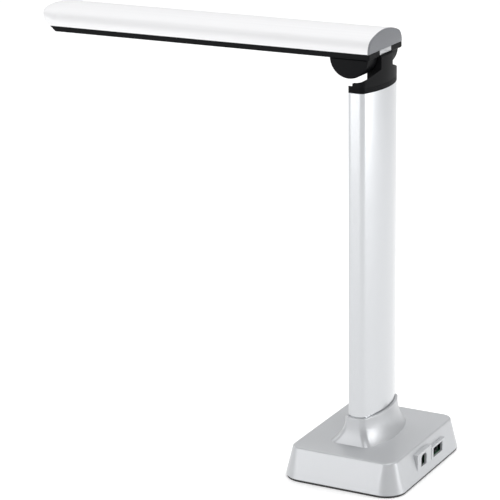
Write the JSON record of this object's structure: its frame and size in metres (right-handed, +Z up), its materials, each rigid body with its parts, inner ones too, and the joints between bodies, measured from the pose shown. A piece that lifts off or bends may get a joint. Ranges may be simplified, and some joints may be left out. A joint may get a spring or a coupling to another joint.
{
  "type": "book scanner",
  "caption": "Folding document camera: weighted base with rear sockets, flat-fronted column and a half-oval camera arm that folds down against the column.",
  "frame": {"origin": "centre of the base's bottom face, on the rubber pad, where it rests on the table", "axes": "+Z up; the camera arm points along -X at rest; the sockets are on the +X face; width runs along Y"},
  "size_m": [0.3102, 0.12, 0.3239],
  "materials": {
    "satin_aluminium": "satin anodised, fine grain along Z",
    "silver_arm": "bright satin silver",
    "silver_plastic": "silver painted moulded plastic, satin",
    "grey_cap": "mid grey satin moulding",
    "black_plastic": "black satin moulding, fine texture",
    "black_rubber": "matt black",
    "zinc_steel": "zinc plated",
    "cast_ballast": "plain cast and machined",
    "foot_metal": "die cast",
    "socket_metal": "bright tin plate",
    "circuit_board": "green solder mask",
    "socket_tongue": "black moulded",
    "bush_brass": "plain turned",
    "washer_nylon": "natural",
    "optic_glass": "dark clear",
    "led_chip": "yellow phosphor",
    "led_cover": "white diffusing",
    "button_grey": "dark grey satin",
    "cable_grey": "grey flat ribbon"
  },
  "bodies": {
    "stand": {"ballast_block": "cast_ballast", "base_cover": "silver_plastic", "base_plate": "zinc_steel", "base_screws": "zinc_steel", "board_screws": "zinc_steel", "board_spacers": "zinc_steel", "bracket_screws": "zinc_steel", "column_boot": "silver_plastic", "column_cable": "cable_grey", "column_foot_bracket": "foot_metal", "column_foot_screws": "zinc_steel", "column_tube": "satin_aluminium", "friction_washers": "washer_nylon", "hinge_bracket": "black_plastic", "hinge_bushes": "bush_brass", "rubber_pad": "black_rubber", "usb_a_shell": "socket_metal", "usb_a_tongue": "socket_tongue", "usb_b_shell": "socket_metal", "usb_b_tongue": "socket_tongue", "usb_board": "circuit_board"},
    "arm": {"arm_cable": "cable_grey", "arm_end_cap": "grey_cap", "arm_screws": "zinc_steel", "arm_shell": "silver_arm", "arm_tip_cap": "silver_arm", "arm_tray": "black_plastic", "button_switch": "socket_tongue", "camera_board": "circuit_board", "camera_housing": "black_plastic", "cheek_screws": "zinc_steel", "hinge_pin": "zinc_steel", "led_board": "circuit_board", "led_chips": "led_chip", "led_diffusers": "led_cover", "left_hinge_cheek": "black_plastic", "lens_barrel": "black_plastic", "lens_glass": "optic_glass", "lens_window": "optic_glass", "right_hinge_cheek": "black_plastic"},
    "light_button": {"light_button": "button_grey"}
  },
  "joints": [
    {"name": "arm_fold", "type": "hinge", "parent": "stand", "child": "arm", "pos_m": [-0.0074, 0, 0.3066], "axis": [0, -1, 0], "range_deg": [0, 87]},
    {"name": "button_press", "type": "slide", "parent": "arm", "child": "light_button", "axis": [0, 0, 1], "range_m": [0, 0.0008], "stiffness_N_per_m": 300, "springref_m": -0.002}
  ]
}
